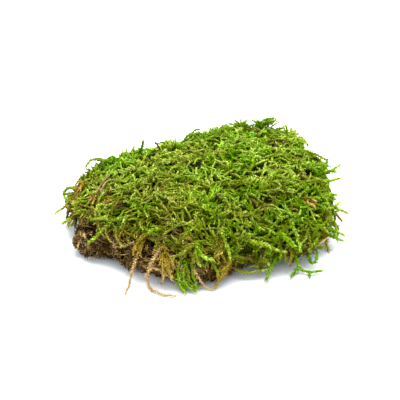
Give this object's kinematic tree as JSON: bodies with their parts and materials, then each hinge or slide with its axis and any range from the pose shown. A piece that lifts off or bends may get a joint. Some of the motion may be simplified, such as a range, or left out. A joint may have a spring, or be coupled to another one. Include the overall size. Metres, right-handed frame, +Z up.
{
  "type": "moss clump",
  "caption": "Clump of carpet moss: a cushion of green leafy shoots on a brown felt of dead stems, with stray shoots and bare rootlets at its open edge.",
  "frame": {"origin": "centre of the flat underside that the clump rests on", "axes": "+Z up, away from the surface it rests on; -Y towards the side where the bare brown edge and the rootlets show; +X along its longest side"},
  "size_m": [0.1706, 0.1659, 0.0414],
  "materials": {
    "living_moss": "matte",
    "dead_felt": "matte",
    "rootlets": "matte",
    "dry_litter": "matte"
  },
  "bodies": {
    "root": {"moss_mat": "living_moss", "root_felt": "dead_felt", "shoot_left_tip": "living_moss", "shoot_left_low": "living_moss", "shoot_left_loop": "living_moss", "shoot_left_arch": "living_moss", "shoot_top_left_spike": "living_moss", "shoot_top_nod": "living_moss", "shoot_top_bent": "living_moss", "shoot_back_crest": "living_moss", "shoot_right_1": "living_moss", "shoot_right_2": "living_moss", "shoot_right_3": "living_moss", "shoot_right_4": "living_moss", "shoot_right_5": "living_moss", "shoot_right_6": "living_moss", "shoot_right_7": "living_moss", "shoot_right_8": "living_moss", "shoot_front_right_curl": "living_moss", "shoot_front_right": "living_moss", "shoot_front_hanging": "living_moss", "shoot_front_arc": "living_moss", "shoot_front_pale": "living_moss", "shoot_front_tip": "living_moss", "shoot_over_felt": "living_moss", "shoot_back_left": "living_moss", "shoot_back_1": "living_moss", "shoot_back_2": "living_moss", "shoot_back_3": "living_moss", "shoot_back_right": "living_moss", "shoot_right_back": "living_moss", "root_left": "rootlets", "root_long": "rootlets", "root_short": "rootlets", "root_curl": "rootlets", "stem_dead": "rootlets", "straw_1": "dry_litter", "straw_2": "dry_litter", "twig_right": "dry_litter", "twig_dark": "dry_litter", "leaf_scrap": "dry_litter"}
  },
  "joints": []
}
